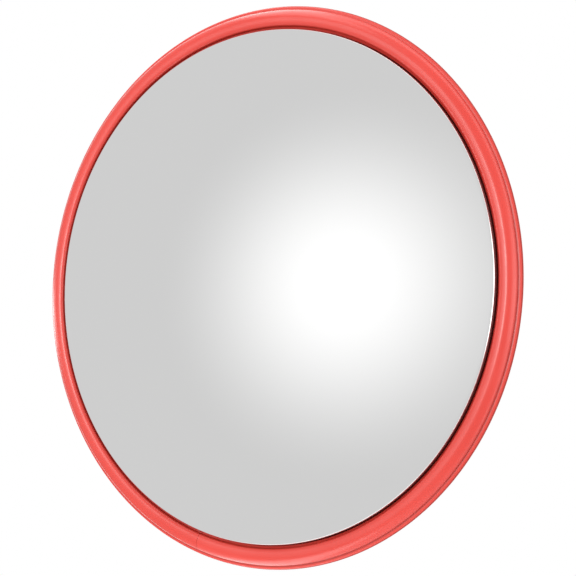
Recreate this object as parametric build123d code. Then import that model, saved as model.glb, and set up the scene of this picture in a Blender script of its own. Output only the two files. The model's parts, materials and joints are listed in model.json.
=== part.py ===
from build123d import *
import math
import os

# A round convex road mirror on a two-way swivel wall bracket, in millimetres.
# The origin is the centre of the wall plate's back face. +Y points into the wall and the
# mirror faces -Y, with +Z up. The head turns about a vertical pan bolt and tilts about a
# horizontal tilt bolt.

# Mirror head. Heights in the rim's sections are measured from RIM_Y towards the viewer.
RIM_Y = -230.0            # plane of the shell flange's widest point
RIM_R = 225.0             # the head is 450 mm across
RIM_FACE = 3.0            # front face of the shell's flange
RIM_BACK = -0.6           # rear face of the shell's flange
BEAD_OUTER_R = 222.0
BEAD_CROWN_R = 214.5
BEAD_INNER_R = 208.0
BEAD_CROWN = 9.2
BEAD_NOSE = 5.0           # height at which the bead's inner nose stands upright
BEAD_FULLNESS = 0.774     # how far the nose's middle bulges; a plain ellipse has 0.707
BEAD_FLANK = 0.675        # the same for the bead's outer side, which is a little flatter
LIP_R = 205.9             # thin lip that closes the gap towards the lens
LIP_ROOT = 4.3
LIP_TIP = 3.7
BEAD_CORE_R = 2.1         # hollow core of the bead
BEAD_CORE_HEIGHT = 5.9
TONGUE_R = 217.2          # middle of the tongue that grips the shell
TONGUE_HALF = 1.0
TONGUE_DEPTH = 5.5
BARB = 0.45
BARB_HEIGHT = 2.2
CHANNEL_HALF = 1.5
CHANNEL_DEPTH = 6.5
JOINT_ANGLE = 107.0       # the trim's butt joint, clockwise from the viewer's right
JOINT_GAP = 0.25
JOINER_LENGTH = 36.0

LENS_T = 2.5
LENS_WALL_R = 205.5
LENS_SHOULDER_R = 1.5
LENS_SHOULDER_HEIGHT = 7.6   # centre of the shoulder's rounding
LENS_DOME_R = 900.0
LENS_EDGE_R = 213.4
SEAL_T = 1.0
SEAL_INNER_R = 203.6

SHELL_T = 3.0
REBATE_R = 213.8
LEDGE_INNER_R = 202.0
GRIP_RIB_OUTER_R = 220.4
GRIP_RIB_INNER_R = 214.0
GRIP_RIB_BACK = -6.5
DISH_KNEE_R = 168.0
DISH_KNEE = -27.0
DISH_PAD_R = 84.0
DISH_PAD = -36.0          # flat pad in the middle of the shell's back
SHELL_RIB_COUNT = 12
SHELL_RIB_W = 5.0
SHELL_RIB_H = 3.0
SHELL_RIB_INNER_R = 92.0
SHELL_RIB_OUTER_R = 200.0
VENT_R = 4.0
VENT_PITCH_R = 132.0
VENT_ANGLES = (-60.0, -120.0)

# Head bracket and its fixings.
STIFFENER_W = 116.0
STIFFENER_H = 112.0
STIFFENER_T = 2.0
BRACKET_W = 92.0
BRACKET_H = 104.0
BRACKET_T = 4.0
FIXING_X = 34.0           # half spacing of the head's four M6 bolts
FIXING_Z = 40.0
M6 = dict(shank=3.0, flat=5.0, head=4.0, nut=5.0, washer_r=6.0, washer_t=1.6)
M12 = dict(shank=6.0, flat=9.5, head=7.5, nut=12.0, washer_r=12.0, washer_t=2.5)
M6_LENGTH = 20.0

# Swivel joints.
PAN_Y = -125.0
TILT_Y = -165.0
BARREL_R = 14.0
BARREL_HALF = 21.0
BUSH_R = 8.0
RUNNING_FIT = 0.05        # radial clearance of the bushes on their bolts
FACE_GAP = 0.1            # side play at each friction washer
FRICTION_T = 1.5
FRICTION_R = 13.0
EAR_T = 5.0
EAR_R = 16.0
EAR_INNER = BARREL_HALF + FACE_GAP + FRICTION_T
EAR_OUTER = EAR_INNER + EAR_T
BOLT_TAIL = 4.0           # thread showing past each nut

# Wall arm.
PLATE_SIZE = 110.0
PLATE_T = 5.0
PLATE_CORNER_R = 10.0
PLATE_HOLE_R = 4.5
PLATE_PITCH = 80.0
TUBE_R = 21.2
TUBE_T = 3.0
FORK_BASE_Y = -84.0
FORK_W = 44.0
GUSSET_T = 5.0
GUSSET_REACH = 46.0
GUSSET_LENGTH = 48.0
GUSSET_TIP = 6.0

EPS = 0.01


def rim(radius, height):
    """A point of the head's section: radius from the axis, height towards the viewer."""
    return (radius, RIM_Y - height)


def turned(*edges, angle=360.0):
    """Solid of revolution about the head's axis from the edges of one closed section."""
    return revolve(make_face(Wire(edges)), Axis.Y, angle)


def outline(corners):
    """Closed section with each corner given as (radius, height, fillet radius)."""
    points = [rim(r, h) for r, h, _ in corners]
    return FilletPolyline(*points, radius=[f for _, _, f in corners], close=True)


def rod(radius, start, end, axis):
    """Cylinder along X, Y or Z between two coordinates on that axis."""
    turn = {"X": (0, 90, 0), "Y": (90, 0, 0), "Z": (0, 0, 0)}[axis]
    shift = {"X": (1, 0, 0), "Y": (0, 1, 0), "Z": (0, 0, 1)}[axis]
    middle = Vector(*shift) * ((start + end) / 2)
    return Pos(middle) * Rot(*turn) * Cylinder(radius, abs(end - start))


def slab(x, y, z):
    """Box from its three (low, high) pairs."""
    size = [pair[1] - pair[0] for pair in (x, y, z)]
    middle = [(pair[0] + pair[1]) / 2 for pair in (x, y, z)]
    return Pos(*middle) * Box(*size)


def hex_prism(flat, length):
    """Hexagon across half-flats `flat`, from z = 0 up, with both faces' corners eased."""
    prism = extrude(RegularPolygon(flat, 6, major_radius=False), length)
    corner_r = flat / math.cos(math.radians(30))
    ease = (corner_r - flat) * 0.6
    blank = Pos(0, 0, length / 2) * Cylinder(corner_r, length)
    blank = chamfer(blank.edges().filter_by(GeomType.CIRCLE), ease, ease * 1.6)
    return prism & blank


def bolt(size, grip):
    """Hex bolt: head above z = 0, shank down to -grip, tip chamfered."""
    shank = Pos(0, 0, -grip / 2) * Cylinder(size["shank"], grip)
    tip = shank.edges().filter_by(GeomType.CIRCLE).sort_by(Axis.Z)[0]
    return hex_prism(size["flat"], size["head"]) + chamfer(tip, size["shank"] * 0.2)


def nut(size):
    """Lock nut from z = 0 down: a hexagon with a round collar for its nylon ring."""
    collar = size["nut"] * 0.22
    body = Pos(0, 0, -size["nut"] + collar) * hex_prism(size["flat"], size["nut"] - collar)
    dome = Pos(0, 0, -size["nut"] + collar / 2) * Cylinder(size["flat"] * 0.86, collar)
    rim_edge = dome.edges().filter_by(GeomType.CIRCLE).sort_by(Axis.Z)[0]
    dome = fillet(rim_edge, collar * 0.6)
    bore = Cylinder(size["shank"], size["nut"] * 3)
    return body + dome - bore


def ring(outer_r, inner_r, thickness):
    """Flat washer with its lower face at z = 0."""
    solid = Pos(0, 0, thickness / 2) * Cylinder(outer_r, thickness)
    return solid - Cylinder(inner_r, thickness * 4)


def on_joint(at, step):
    """Places a fastener made along Z at the pan axis or, turned, at the tilt axis."""
    if step == "pan":
        return Pos(0, PAN_Y, 0) * Pos(0, 0, at)
    return Pos(0, TILT_Y, 0) * Rot(0, 90, 0) * Pos(0, 0, at)


# ---- mirror head -------------------------------------------------------------------------

def mirror_lens():
    """Domed acrylic face: spherical dome, tight shoulder, upright wall and flat flange."""
    shoulder_r = LENS_WALL_R - LENS_SHOULDER_R
    reach = LENS_DOME_R - LENS_SHOULDER_R
    centre = LENS_SHOULDER_HEIGHT - math.sqrt(reach ** 2 - shoulder_r ** 2)

    def dome(radius, lean):
        """Point of a sphere about the dome's centre, by its lean from the axis."""
        return rim(radius * math.sin(lean), centre + radius * math.cos(lean))

    lean = math.asin(shoulder_r / reach)
    front = ThreePointArc(*[dome(LENS_DOME_R, lean * share) for share in (0, 0.5, 1)])
    turn = (lean + math.pi / 2) / 2
    bend = rim(
        shoulder_r + LENS_SHOULDER_R * math.sin(turn),
        LENS_SHOULDER_HEIGHT + LENS_SHOULDER_R * math.cos(turn),
    )
    wall_top = rim(LENS_WALL_R, LENS_SHOULDER_HEIGHT)
    shoulder = ThreePointArc(dome(LENS_DOME_R, lean), bend, wall_top)

    hollow_r = LENS_DOME_R - LENS_T
    wall_in = LENS_WALL_R - LENS_T
    lean = math.asin(wall_in / hollow_r)
    hollow = ThreePointArc(*[dome(hollow_r, lean * share) for share in (0, 0.5, 1)])
    flange_back = RIM_FACE - LENS_T
    flange = Polyline(
        wall_top,
        rim(LENS_WALL_R, RIM_FACE),
        rim(LENS_EDGE_R, RIM_FACE),
        rim(LENS_EDGE_R, flange_back),
        rim(wall_in, flange_back),
        dome(hollow_r, lean),
    )
    axis_line = Line(dome(LENS_DOME_R, 0), dome(hollow_r, 0))
    return turned(front, shoulder, *flange.edges(), hollow, axis_line)


def trim_section():
    """Closed section of the trim: D-shaped bead with a lip inside, over a barbed tongue."""
    outer_a = BEAD_OUTER_R - BEAD_CROWN_R
    inner_a = BEAD_CROWN_R - BEAD_INNER_R
    outer_b = BEAD_CROWN - RIM_FACE
    inner_b = BEAD_CROWN - BEAD_NOSE
    flank = BEAD_FLANK
    full = BEAD_FULLNESS
    tip = RIM_FACE - TONGUE_DEPTH
    left = TONGUE_R - TONGUE_HALF
    right = TONGUE_R + TONGUE_HALF
    outer_mid = (BEAD_CROWN_R + outer_a * flank, RIM_FACE + outer_b * flank)
    inner_mid = (BEAD_CROWN_R - inner_a * full, BEAD_NOSE + inner_b * full)
    crown = rim(BEAD_CROWN_R, BEAD_CROWN)
    outer = Spline(
        rim(BEAD_OUTER_R, RIM_FACE),
        rim(*outer_mid),
        crown,
        tangents=[(0, -1), (-1, 0)],
    )
    inner = Spline(
        crown,
        rim(*inner_mid),
        rim(BEAD_INNER_R, BEAD_NOSE),
        tangents=[(-1, 0), (0, 1)],
    )
    base = Polyline(
        rim(BEAD_INNER_R, BEAD_NOSE),
        rim(BEAD_INNER_R, LIP_ROOT),
        rim(LIP_R, LIP_TIP),
        rim(LIP_R, RIM_FACE),
        rim(left, RIM_FACE),
        rim(left, tip + BARB_HEIGHT),
        rim(left - BARB, tip + BARB_HEIGHT),
        rim(left + BARB, tip),
        rim(right - BARB, tip),
        rim(right + BARB, tip + BARB_HEIGHT),
        rim(right, tip + BARB_HEIGHT),
        rim(right, RIM_FACE),
        rim(BEAD_OUTER_R, RIM_FACE),
    )
    face = make_face(Wire([outer, inner, *base.edges()]))
    core = Pos(*rim(BEAD_CROWN_R, BEAD_CORE_HEIGHT)) * Circle(BEAD_CORE_R + 0.1)
    return face - core


def edge_trim():
    """Soft plastic edge trim, one length bent round the rim and butted at its joint."""
    gap = math.degrees(JOINT_GAP / BEAD_CROWN_R)
    open_ring = revolve(trim_section(), Axis.Y, 360.0 - gap)
    return Rot(0, JOINT_ANGLE + gap / 2, 0) * open_ring


def trim_joiner():
    """Curved pin that lines up the trim's two ends, inside its hollow core."""
    spread = math.degrees(JOINER_LENGTH / BEAD_CROWN_R)
    face = Pos(*rim(BEAD_CROWN_R, BEAD_CORE_HEIGHT)) * Circle(BEAD_CORE_R)
    return Rot(0, JOINT_ANGLE - spread / 2, 0) * revolve(face, Axis.Y, spread)


def lens_seal():
    """Foam ring between the lens flange and the shell's ledge."""
    top = RIM_FACE - LENS_T
    floor = top - SEAL_T
    return turned(*Polyline(
        rim(SEAL_INNER_R, top),
        rim(LENS_EDGE_R, top),
        rim(LENS_EDGE_R, floor),
        rim(SEAL_INNER_R, floor),
        close=True,
    ).edges())


def dish(inset):
    """Solid body of the shell's dish, from its ledge back, shrunk by `inset`."""
    ledge = RIM_FACE - LENS_T - SEAL_T
    side = GRIP_RIB_INNER_R - inset
    return turned(*FilletPolyline(
        rim(0, ledge),
        rim(side, ledge),
        rim(side, GRIP_RIB_BACK + inset),
        rim(DISH_KNEE_R - inset * 0.9, DISH_KNEE + inset),
        rim(DISH_PAD_R, DISH_PAD + inset),
        rim(0, DISH_PAD + inset),
        radius=[0, 0, 0, 30, 18, 0],
        close=True,
    ).edges())


def back_shell():
    """Moulded back: flanged rim with the trim's channel, ribbed dish and bracket pad."""
    ledge = RIM_FACE - LENS_T - SEAL_T
    tub = TONGUE_R - CHANNEL_HALF
    collar = turned(*outline([
        (RIM_R, RIM_FACE, 2.0),
        (RIM_R, RIM_BACK, 1.5),
        (GRIP_RIB_OUTER_R + 0.6, RIM_BACK, 0.5),
        (GRIP_RIB_OUTER_R, GRIP_RIB_BACK, 1.2),
        (GRIP_RIB_INNER_R - 1.0, GRIP_RIB_BACK, 0),
        (GRIP_RIB_INNER_R - 1.0, ledge - SHELL_T, 0),
        (LEDGE_INNER_R, ledge - SHELL_T, 0),
        (LEDGE_INNER_R, ledge, 0),
        (REBATE_R, ledge, 0),
        (REBATE_R, RIM_FACE, 0.4),
        (tub, RIM_FACE, 0),
        (tub, RIM_FACE - CHANNEL_DEPTH, 0.6),
        (TONGUE_R + CHANNEL_HALF, RIM_FACE - CHANNEL_DEPTH, 0.6),
        (TONGUE_R + CHANNEL_HALF, RIM_FACE, 0),
    ]).edges())
    wall = dish(0) - dish(SHELL_T)
    ribs = dish(-SHELL_RIB_H) & shell_rib_blanks()
    shell = collar + wall + (ribs - dish(0))
    holes = [rod(M6["shank"] + 0.3, RIM_Y, 0, "Y").moved(spot) for spot in fixing_spots()]
    holes += [rod(VENT_R, RIM_Y, 0, "Y").moved(spot) for spot in vent_spots()]
    return shell - holes


def shell_rib_blanks():
    """Radial plates that are trimmed to make the shell's stiffening ribs."""
    reach = (SHELL_RIB_INNER_R, SHELL_RIB_OUTER_R)
    half = SHELL_RIB_W / 2
    plate = slab(reach, (RIM_Y, RIM_Y - 2 * DISH_PAD), (-half, half))
    step = 360.0 / SHELL_RIB_COUNT
    plates = [Rot(0, step * (i + 0.5), 0) * plate for i in range(SHELL_RIB_COUNT)]
    return Compound(children=plates)


def fixing_spots():
    """The four bolt positions of the head bracket."""
    return [Pos(x, 0, z) for x in (-FIXING_X, FIXING_X) for z in (-FIXING_Z, FIXING_Z)]


def vent_spots():
    """Low vent positions in the shell's back."""
    spots = []
    for angle in VENT_ANGLES:
        turn = math.radians(angle)
        spots.append(Pos(VENT_PITCH_R * math.cos(turn), 0, VENT_PITCH_R * math.sin(turn)))
    return spots


def vent_plugs():
    """Mushroom plugs pushed into the shell's vent holes."""
    across_knee = (VENT_PITCH_R - DISH_PAD_R) / (DISH_KNEE_R - DISH_PAD_R)
    seat = RIM_Y - (DISH_PAD + across_knee * (DISH_KNEE - DISH_PAD))
    stem = rod(VENT_R, seat - 6.0, seat + 0.8, "Y")
    cap = rod(VENT_R + 2.5, seat + 0.8, seat + 2.8, "Y")
    cap = fillet(cap.edges().filter_by(GeomType.CIRCLE).sort_by(Axis.Y)[-1], 1.4)
    plug = stem + cap
    return Compound(children=[plug.moved(spot) for spot in vent_spots()])


def rounded_plate(width, height, thickness, corner_r):
    """Plate across Y with rounded corners, its front face at y = 0."""
    sheet = extrude(RectangleRounded(width, height, corner_r), thickness)
    return Rot(-90, 0, 0) * sheet


def stiffener_plate():
    """Steel plate inside the shell that spreads the bracket's load."""
    face_y = RIM_Y - DISH_PAD - SHELL_T - STIFFENER_T
    plate = Pos(0, face_y, 0) * rounded_plate(STIFFENER_W, STIFFENER_H, STIFFENER_T, 14)
    return plate - [rod(M6["shank"] + 0.3, RIM_Y, 0, "Y").moved(s) for s in fixing_spots()]


def head_bracket():
    """Folded steel bracket: a base on the shell's pad and two ears for the tilt bolt."""
    base_y = RIM_Y - DISH_PAD
    back_y = base_y + BRACKET_T
    bracket = Pos(0, base_y, 0) * rounded_plate(BRACKET_W, BRACKET_H, BRACKET_T, 10)
    ear = ear_shape(TILT_Y - base_y, 62.0)
    for side in (-1, 1):
        low = min(side * EAR_INNER, side * EAR_OUTER)
        bracket += Pos(low, base_y, 0) * Rot(0, 90, 0) * Rot(0, 0, 90) * ear
    creases = [
        edge
        for edge in bracket.edges().filter_by(Axis.Z)
        if abs(edge.center().Y - back_y) < EPS and abs(edge.center().X) < EAR_OUTER + 1
    ]
    bracket = fillet(creases, 3.0)
    bracket -= rod(M12["shank"], -EAR_OUTER - 9, EAR_OUTER + 9, "X").moved(Pos(0, TILT_Y, 0))
    return bracket - [rod(M6["shank"] + 0.3, RIM_Y, 0, "Y").moved(s) for s in fixing_spots()]


def ear_shape(reach, root_width):
    """Ear plate: wide at x = 0, tapering to a round end about x = reach, EAR_T thick."""
    eye = Pos(reach, 0) * Circle(EAR_R)
    half = root_width / 2
    root = Polyline((0, -half), (0, half), (reach, EAR_R), (reach, -EAR_R), close=True)
    return extrude(make_face(root) + eye, EAR_T)


def head_bolts():
    """Four M6 bolts that clamp bracket, shell and stiffener together."""
    seat = RIM_Y - DISH_PAD + BRACKET_T + M6["washer_t"]
    one = Rot(-90, 0, 0) * bolt(M6, M6_LENGTH)
    return Compound(children=[(Pos(0, seat, 0) * one).moved(s) for s in fixing_spots()])


def head_washers():
    """Washers under the four M6 heads."""
    seat = RIM_Y - DISH_PAD + BRACKET_T
    one = Rot(-90, 0, 0) * ring(M6["washer_r"], M6["shank"], M6["washer_t"])
    return Compound(children=[(Pos(0, seat, 0) * one).moved(s) for s in fixing_spots()])


def head_nuts():
    """Lock nuts inside the shell, on the stiffener plate."""
    seat = RIM_Y - DISH_PAD - SHELL_T - STIFFENER_T
    one = Rot(-90, 0, 0) * nut(M6)
    return Compound(children=[(Pos(0, seat, 0) * one).moved(s) for s in fixing_spots()])


# ---- swivel joints -----------------------------------------------------------------------

def joint_bolt(step):
    """M12 bolt through both ears of a swivel joint."""
    grip = 2 * (EAR_OUTER + M12["washer_t"]) + M12["nut"] + BOLT_TAIL
    return on_joint(EAR_OUTER + M12["washer_t"], step) * bolt(M12, grip)


def joint_nut(step):
    """Lock nut at the far end of a joint bolt."""
    return on_joint(-EAR_OUTER - M12["washer_t"], step) * nut(M12)


def joint_washers(step):
    """Steel washers under a joint bolt's head and nut."""
    plain = ring(M12["washer_r"], M12["shank"], M12["washer_t"])
    places = (EAR_OUTER, -EAR_OUTER - M12["washer_t"])
    return Compound(children=[on_joint(at, step) * plain for at in places])


def joint_friction_washers(step):
    """Fibre washers between the ears and the knuckle that hold the joint where it is set."""
    disc = ring(FRICTION_R, M12["shank"], FRICTION_T)
    places = (EAR_INNER - FRICTION_T, -EAR_INNER)
    return Compound(children=[on_joint(at, step) * disc for at in places])


def joint_bush(step):
    """Nylon bush pressed into a knuckle barrel, running on the joint bolt."""
    bush = ring(BUSH_R, M12["shank"] + RUNNING_FIT, 2 * BARREL_HALF)
    return on_joint(-BARREL_HALF, step) * bush


def swivel_knuckle():
    """Cast knuckle: an upright pan barrel and a level tilt barrel joined by a web."""
    pan = on_joint(0, "pan") * Cylinder(BARREL_R, 2 * BARREL_HALF)
    tilt = on_joint(0, "tilt") * Cylinder(BARREL_R, 2 * BARREL_HALF)
    web_w = BARREL_R * 1.5
    web = slab((-web_w / 2, web_w / 2), (TILT_Y, PAN_Y), (-web_w / 2, web_w / 2))
    web = fillet(web.edges().filter_by(Axis.Y), 4.0)
    knuckle = pan + tilt + web
    knuckle -= on_joint(0, "pan") * Cylinder(BUSH_R, 3 * BARREL_HALF)
    knuckle -= on_joint(0, "tilt") * Cylinder(BUSH_R, 3 * BARREL_HALF)
    return knuckle


# ---- wall arm ----------------------------------------------------------------------------

def arm_fork():
    """Folded fork welded to the tube's end, with two level ears for the pan bolt."""
    front_y = FORK_BASE_Y - EAR_T
    fork = slab((-FORK_W / 2, FORK_W / 2), (front_y, FORK_BASE_Y), (-EAR_OUTER, EAR_OUTER))
    ear = ear_shape(FORK_BASE_Y - PAN_Y, FORK_W)
    for low in (EAR_INNER, -EAR_OUTER):
        fork += Pos(0, FORK_BASE_Y, low) * Rot(0, 0, -90) * ear
    inner = ear_creases(fork, front_y, EAR_INNER)
    fork = fillet(inner, 2.5)
    outer = ear_creases(fork, FORK_BASE_Y, EAR_OUTER)
    fork = fillet(outer, EAR_T)
    return fork - on_joint(0, "pan") * Cylinder(M12["shank"], 3 * EAR_OUTER)


def ear_creases(fork, y, z):
    """Edges along X where the fork's ears meet its base, on one face of the fold."""
    return [
        edge
        for edge in fork.edges().filter_by(Axis.X)
        if abs(edge.center().Y - y) < EPS and abs(abs(edge.center().Z) - z) < EPS
    ]


def wall_arm():
    """Steel tube between the wall plate and the fork."""
    tube = rod(TUBE_R, FORK_BASE_Y, -PLATE_T, "Y")
    return tube - rod(TUBE_R - TUBE_T, FORK_BASE_Y - 1, -PLATE_T + 1, "Y")


def arm_gussets():
    """Four triangular gussets between the tube and the wall plate."""
    foot = -PLATE_T
    web = make_face(Polyline(
        (0, foot),
        (GUSSET_REACH, foot),
        (GUSSET_REACH, foot - GUSSET_TIP),
        (TUBE_R + GUSSET_TIP, foot - GUSSET_LENGTH),
        (0, foot - GUSSET_LENGTH),
        close=True,
    ))
    gusset = extrude(web, GUSSET_T / 2, both=True) - rod(TUBE_R, foot - 99, foot + 1, "Y")
    return Compound(children=[Rot(0, 90 * i, 0) * gusset for i in range(4)])


def wall_plate():
    """Square wall plate with four fixing holes."""
    plate = Pos(0, -PLATE_T, 0) * rounded_plate(PLATE_SIZE, PLATE_SIZE, PLATE_T, PLATE_CORNER_R)
    half = PLATE_PITCH / 2
    for x in (-half, half):
        for z in (-half, half):
            plate -= rod(PLATE_HOLE_R, -PLATE_T - 1, 1, "Y").moved(Pos(x, 0, z))
    return plate


def make_parts():
    """Every sub-part by its node name."""
    parts = {
        "mirror_lens": mirror_lens(),
        "edge_trim": edge_trim(),
        "trim_joiner": trim_joiner(),
        "lens_seal": lens_seal(),
        "back_shell": back_shell(),
        "vent_plugs": vent_plugs(),
        "stiffener_plate": stiffener_plate(),
        "head_bracket": head_bracket(),
        "head_bolts": head_bolts(),
        "head_washers": head_washers(),
        "head_nuts": head_nuts(),
        "swivel_knuckle": swivel_knuckle(),
        "arm_fork": arm_fork(),
        "wall_arm": wall_arm(),
        "arm_gussets": arm_gussets(),
        "wall_plate": wall_plate(),
    }
    for step in ("pan", "tilt"):
        parts[step + "_bolt"] = joint_bolt(step)
        parts[step + "_nut"] = joint_nut(step)
        parts[step + "_washers"] = joint_washers(step)
        parts[step + "_friction_washers"] = joint_friction_washers(step)
        parts[step + "_bush"] = joint_bush(step)
    return parts


os.makedirs("parts", exist_ok=True)
for node, shape in make_parts().items():
    export_step(shape, "parts/" + node + ".step")
    print(node, len(shape.solids()), round(shape.volume))
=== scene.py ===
import json
import math

import bmesh
import bpy
import numpy as np
from mathutils import Matrix, Vector

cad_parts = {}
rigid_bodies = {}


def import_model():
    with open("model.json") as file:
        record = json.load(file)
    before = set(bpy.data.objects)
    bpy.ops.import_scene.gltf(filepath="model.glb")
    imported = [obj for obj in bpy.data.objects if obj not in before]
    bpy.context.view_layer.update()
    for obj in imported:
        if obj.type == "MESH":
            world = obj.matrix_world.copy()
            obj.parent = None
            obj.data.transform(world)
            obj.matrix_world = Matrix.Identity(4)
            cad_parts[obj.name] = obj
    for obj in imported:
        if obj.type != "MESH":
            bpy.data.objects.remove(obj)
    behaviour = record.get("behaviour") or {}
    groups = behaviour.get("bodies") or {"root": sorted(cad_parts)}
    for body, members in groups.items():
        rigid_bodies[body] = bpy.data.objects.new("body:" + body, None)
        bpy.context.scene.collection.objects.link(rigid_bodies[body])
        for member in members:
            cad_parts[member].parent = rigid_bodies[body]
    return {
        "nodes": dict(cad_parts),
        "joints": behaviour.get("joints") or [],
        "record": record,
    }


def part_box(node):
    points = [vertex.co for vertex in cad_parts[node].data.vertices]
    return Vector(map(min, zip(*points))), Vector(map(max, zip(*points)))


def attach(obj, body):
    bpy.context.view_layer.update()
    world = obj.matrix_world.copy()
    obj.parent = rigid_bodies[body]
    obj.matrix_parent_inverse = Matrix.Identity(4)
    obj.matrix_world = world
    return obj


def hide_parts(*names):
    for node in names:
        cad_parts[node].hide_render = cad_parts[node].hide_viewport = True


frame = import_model()

# The start-up scene's own cube, lamp and camera aren't part of this picture.
for name in ("Cube", "Light", "Camera"):
    if name in bpy.data.objects:
        bpy.data.objects.remove(bpy.data.objects[name])
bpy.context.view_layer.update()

MM = 0.001
TAU = 2 * math.pi

# ---- sizes, in metres ---------------------------------------------------------------------

# Heights on the head are counted from RIM_Y towards the viewer.
BEAD_CROWN = 9.2 * MM
RIM_FACE = 3.0 * MM
BEAD_NOSE = 5.0 * MM
BEAD_CROWN_R = 214.5 * MM
BEAD_INNER_R = 208.0 * MM
BEAD_FULLNESS = 0.774      # how far the bead's nose bulges; a plain ellipse has 0.707
BEAD_FLANK = 0.675         # the same for its outer side, which is a little flatter
LIP_R = 205.9 * MM         # thin lip inside the bead, next to the lens
LIP_ROOT = 4.3 * MM
LIP_TIP = 3.7 * MM
TONGUE_R = 217.2 * MM
TONGUE_HALF = 1.0 * MM
TONGUE_DEPTH = 5.5 * MM
BARB_REACH = 0.45 * MM     # how far the tongue's barbs stand out, and their height
BARB_HEIGHT = 2.2 * MM
JOINT_ANGLE = math.radians(107.0)
JOINT_GAP = 0.25 * MM

LENS_T = 2.5 * MM
LENS_WALL_R = 205.5 * MM
LENS_SHOULDER_R = 1.5 * MM
LENS_SHOULDER_HEIGHT = 7.6 * MM
LENS_DOME_R = 900.0 * MM

trim_low, trim_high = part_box("edge_trim")
BEAD_OUTER_R = trim_high.x
LENS_EDGE_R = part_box("mirror_lens")[1].x
RIM_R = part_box("back_shell")[1].x
RIM_Y = trim_low.y + BEAD_CROWN

JOINT_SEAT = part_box("pan_washers")[1].z       # from a joint's middle to under its bolt's head
JOINT_BOLT_TIP = -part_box("pan_bolt")[0].z
HEAD_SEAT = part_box("head_washers")[1].y
HEAD_BOLT_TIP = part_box("head_bolts")[0].y
HEAD_FIXING_X = 34.0 * MM
HEAD_FIXING_Z = 40.0 * MM
TUBE_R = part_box("wall_arm")[1].x
PLATE_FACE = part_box("wall_plate")[0].y
FORK_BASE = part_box("arm_fork")[1].y
GUSSET_HALF = 2.5 * MM                        # half the gussets' thickness
GUSSET_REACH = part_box("arm_gussets")[1].x
GUSSET_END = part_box("arm_gussets")[0].y


# ---- mesh helpers ------------------------------------------------------------------------

def add_object(name, mesh, sharp=math.radians(34)):
    """Links a mesh as an object, shaded smooth except across sharp edges."""
    mesh.shade_smooth()
    mesh.set_sharp_from_angle(angle=sharp)
    piece = bpy.data.objects.new(name, mesh)
    bpy.context.scene.collection.objects.link(piece)
    return piece


def skin(name, rings, loop=False, caps=False, sharp=math.radians(34)):
    """Mesh over closed rings of points, shape (rings, steps, 3).

    loop joins the last ring to the first. caps closes the two open ends.
    """
    count, steps, _ = rings.shape
    rows = np.arange(count if loop else count - 1)[:, None]
    columns = np.arange(steps)[None, :]
    below = ((rows + 1) % count) * steps
    after = (columns + 1) % steps
    corners = (rows * steps + columns, rows * steps + after, below + after, below + columns)
    faces = np.stack([corner.ravel() for corner in corners], 1)
    mesh = bpy.data.meshes.new(name)
    mesh.from_pydata(rings.reshape(-1, 3).tolist(), [], faces.tolist())
    work = bmesh.new()
    work.from_mesh(mesh)
    bmesh.ops.remove_doubles(work, verts=work.verts, dist=1e-7)
    bmesh.ops.dissolve_degenerate(work, edges=work.edges, dist=1e-8)
    if caps:
        ends = [edge for edge in work.edges if edge.is_boundary]
        bmesh.ops.holes_fill(work, edges=ends, sides=0)
    bmesh.ops.recalc_face_normals(work, faces=work.faces)
    work.to_mesh(mesh)
    work.free()
    return add_object(name, mesh, sharp)


def arc(centre, radii, start, end, count):
    """Points of an elliptical arc, angles in degrees."""
    turn = np.radians(np.linspace(start, end, count))
    return np.stack([centre[0] + radii[0] * np.cos(turn), centre[1] + radii[1] * np.sin(turn)], 1)


def bulge(centre, reach, fullness, count):
    """Quarter of a superellipse down from its top, to the side reach[0] points to.

    fullness is how far its middle bulges: 0.707 is an ellipse.
    """
    turn = np.radians(np.linspace(90, 0, count))
    power = -math.log(fullness) / math.log(math.sqrt(2))
    across, above = np.abs(np.cos(turn)) ** power, np.abs(np.sin(turn)) ** power
    return np.stack([centre[0] + reach[0] * across, centre[1] + reach[1] * above], 1)


def run(start, end, count):
    """Points of a straight run without its last point."""
    return np.linspace(start, end, count, endpoint=False)


def head_rings(section, turn):
    """Rings round the head's axis: section holds (radius, height), turn runs clockwise."""
    radius = section[:, 0][:, None]
    height = section[:, 1][:, None]
    x = radius * np.cos(turn)[None, :]
    z = -radius * np.sin(turn)[None, :]
    y = RIM_Y - height + 0 * x
    return np.stack([x, y, z], 2)


# ---- lens --------------------------------------------------------------------------------

def lens_section():
    """Closed section of the lens from its front apex out to the flange and back inside."""
    shoulder_r = LENS_WALL_R - LENS_SHOULDER_R
    wall_in = LENS_WALL_R - LENS_T
    reach = LENS_DOME_R - LENS_SHOULDER_R
    centre = LENS_SHOULDER_HEIGHT - math.sqrt(reach ** 2 - shoulder_r ** 2)
    lean = math.degrees(math.asin(shoulder_r / reach))
    hollow_r = LENS_DOME_R - LENS_T
    hollow_lean = math.degrees(math.asin(wall_in / hollow_r))
    flange_back = RIM_FACE - LENS_T
    front = [
        arc((0, centre), (LENS_DOME_R, LENS_DOME_R), 90, 90 - lean, 110)[:-1],
        arc((shoulder_r, LENS_SHOULDER_HEIGHT), (LENS_SHOULDER_R, LENS_SHOULDER_R), 90 - lean, 0, 22),
        run((LENS_WALL_R, LENS_SHOULDER_HEIGHT - 0.3 * MM), (LENS_WALL_R, RIM_FACE + 0.5 * MM), 6),
        arc((LENS_WALL_R + 0.5 * MM, RIM_FACE + 0.5 * MM), (0.5 * MM, 0.5 * MM), 180, 270, 6),
        [[LENS_WALL_R + 0.8 * MM, RIM_FACE], [LENS_EDGE_R - 0.2 * MM, RIM_FACE]],
        [[LENS_EDGE_R, RIM_FACE - 0.2 * MM], [LENS_EDGE_R, flange_back], [wall_in, flange_back]],
    ]
    back = arc((0, centre), (hollow_r, hollow_r), 90 - hollow_lean, 90, 40)
    return np.concatenate([*front, back])


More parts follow.
